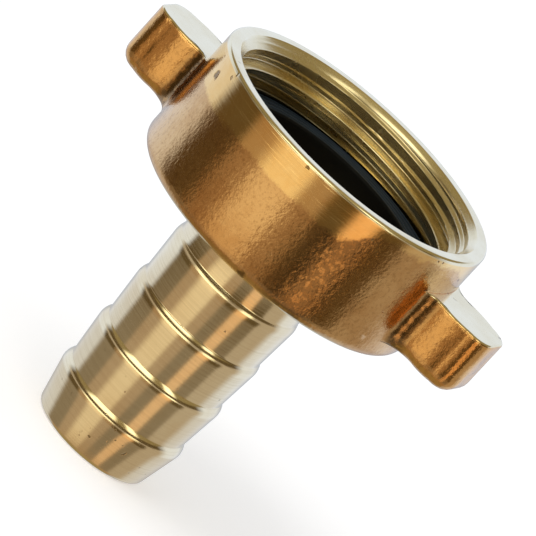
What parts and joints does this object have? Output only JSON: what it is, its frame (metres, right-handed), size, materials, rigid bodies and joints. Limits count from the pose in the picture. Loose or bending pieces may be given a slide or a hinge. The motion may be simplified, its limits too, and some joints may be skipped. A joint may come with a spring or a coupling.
{
  "type": "hose barb tail with wing nut",
  "caption": "Brass hose tail with ring barbs, held by a collar in a swivelling wing nut with internal pipe thread and a flat rubber washer.",
  "frame": {"origin": "centre of the tail's tip face, on which the fitting stands", "axes": "+Z along the bore from the tip to the nut's mouth, X through the nut's two lugs"},
  "size_m": [0.0432, 0.03, 0.0372],
  "materials": {
    "turned_brass": "turned, fine circumferential tool marks, bright",
    "forged_brass": "hot forged and blasted skin, turned near the mouth",
    "black_rubber": "matt black nitrile rubber"
  },
  "bodies": {
    "tail": {"hose_tail": "turned_brass"},
    "washer": {"sealing_washer": "black_rubber"},
    "nut": {"wing_nut": "forged_brass"}
  },
  "joints": [
    {"name": "nut_end_float", "type": "slide", "parent": "tail", "child": "washer", "axis": [0, 0, 1], "range_m": [0, 0.0006]},
    {"name": "nut_swivel", "type": "hinge", "parent": "washer", "child": "nut", "pos_m": [0, 0, 0.031], "axis": [0, 0, 1], "continuous": true}
  ]
}
